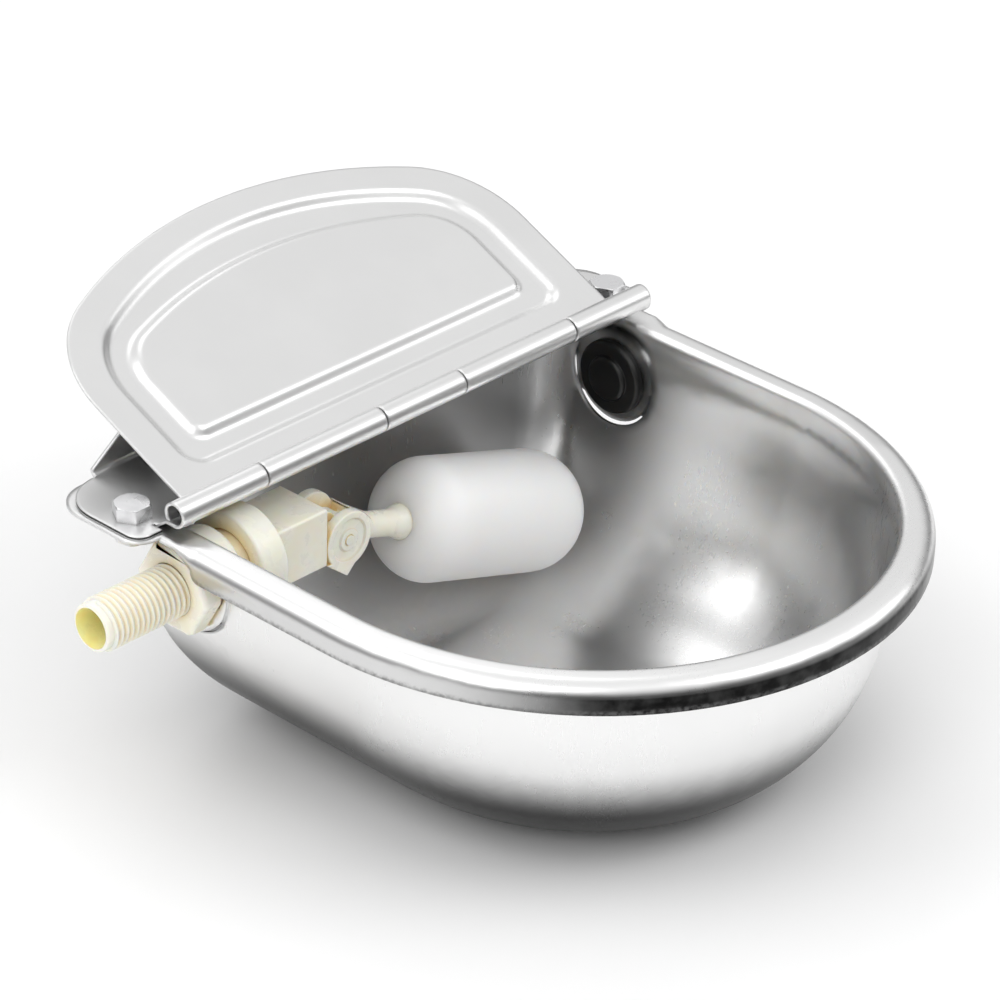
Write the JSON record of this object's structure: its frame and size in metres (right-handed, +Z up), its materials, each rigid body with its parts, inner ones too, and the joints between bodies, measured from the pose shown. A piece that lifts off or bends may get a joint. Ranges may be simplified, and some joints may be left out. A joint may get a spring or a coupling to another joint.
{
  "type": "livestock drinking bowl",
  "caption": "Drawn sheet metal drinking bowl with a float valve in its back, a hinged lid with a pressed ring groove over the valve, a bent wall bracket and a threaded side inlet.",
  "frame": {"origin": "centre of the flat base that the bowl stands on", "axes": "+Z up, +Y from the drinking side towards the wall, +X along the hinge, away from the water inlet"},
  "size_m": [0.305, 0.3244, 0.1526],
  "materials": {
    "stainless_sheet": "satin",
    "steel_rod": "satin",
    "zinc_fastener": "satin",
    "ivory_plastic": "satin",
    "milky_float": "satin",
    "black_rubber": "matte"
  },
  "bodies": {
    "bowl": {"bowl_shell": "stainless_sheet", "hinge_bracket": "stainless_sheet", "hinge_pin": "steel_rod", "bracket_bolts": "zinc_fastener", "bracket_washers": "zinc_fastener", "bracket_nuts": "zinc_fastener", "inlet_spigot": "ivory_plastic", "outer_lock_nut": "ivory_plastic", "wall_gasket": "black_rubber", "union_ring": "ivory_plastic", "nozzle_seal": "black_rubber", "seat_nozzle": "ivory_plastic", "valve_block": "ivory_plastic", "pivot_pin": "steel_rod", "side_plug": "black_rubber"},
    "lid": {"lid": "stainless_sheet"},
    "float_arm": {"float_lever": "ivory_plastic", "float_bulb": "milky_float"},
    "plunger": {"plunger": "ivory_plastic", "plunger_seal": "black_rubber"}
  },
  "joints": [
    {"name": "lid_hinge", "type": "hinge", "parent": "bowl", "child": "lid", "pos_m": [0, 0.074, 0.1075], "axis": [1, 0, 0], "range_deg": [0, 162]},
    {"name": "float_pivot", "type": "hinge", "parent": "bowl", "child": "float_arm", "pos_m": [-0.0455, 0.077, 0.069], "axis": [0, -1, 0], "range_deg": [0, 20]},
    {"name": "plunger_slide", "type": "slide", "parent": "bowl", "child": "plunger", "axis": [-1, 0, 0], "range_m": [0, 0.0018]}
  ],
  "couplings": [
    {"joint": "plunger_slide", "follows": "float_pivot", "m_per_rad": 0.00515}
  ]
}
